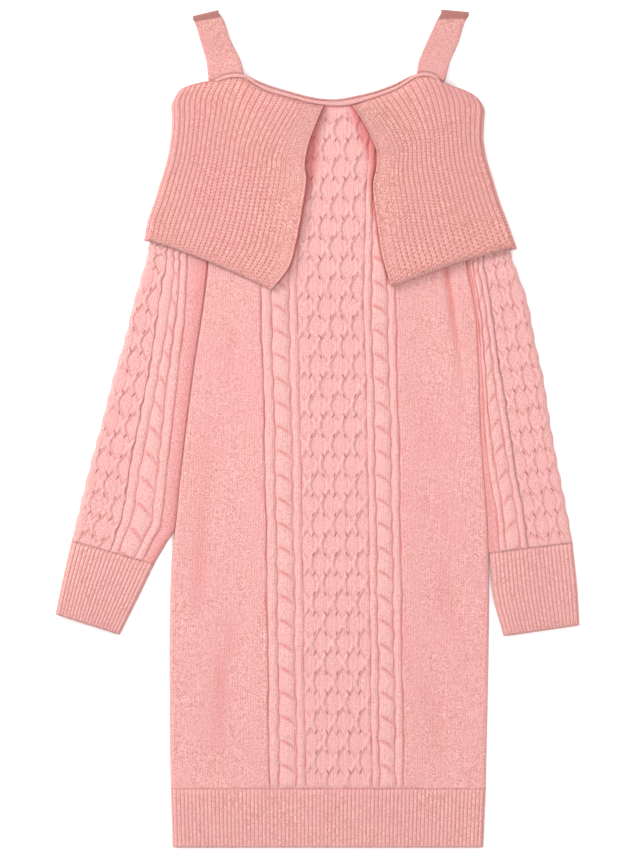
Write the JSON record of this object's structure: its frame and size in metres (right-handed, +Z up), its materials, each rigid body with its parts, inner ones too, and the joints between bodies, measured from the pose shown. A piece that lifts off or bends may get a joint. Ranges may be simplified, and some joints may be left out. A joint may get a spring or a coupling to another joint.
{
  "type": "sweater dress",
  "caption": "Knitted off-shoulder dress with a split ribbed fold-over collar, wide straps, long sleeves and a cabled front, laid flat.",
  "frame": {"origin": "middle of the garment's outline, on the surface it lies on", "axes": "+X to the viewer's right looking down at the front, +Y from the hem to the neck, +Z up from the surface"},
  "size_m": [0.5644, 0.9016, 0.0148],
  "materials": {
    "body_knit": "brushed wool-blend stockinette and cables, heathered pink",
    "sleeve_knit": "brushed wool-blend stockinette and cables, heathered pink",
    "rib_knit": "single rib in brushed pink wool blend",
    "collar_knit": "thick single rib in brushed pink wool blend",
    "strap_knit": "close double knit in brushed pink wool blend",
    "neck_knit": "rolled edge in brushed pink wool blend"
  },
  "bodies": {
    "root": {"front_panel": "body_knit", "back_panel": "body_knit", "hem_rib": "rib_knit", "sleeve_left": "sleeve_knit", "sleeve_right": "sleeve_knit", "cuff_left": "rib_knit", "cuff_right": "rib_knit", "collar": "collar_knit", "strap_left": "strap_knit", "strap_right": "strap_knit", "neck_binding_front": "neck_knit", "neck_binding_back": "neck_knit"}
  },
  "joints": []
}
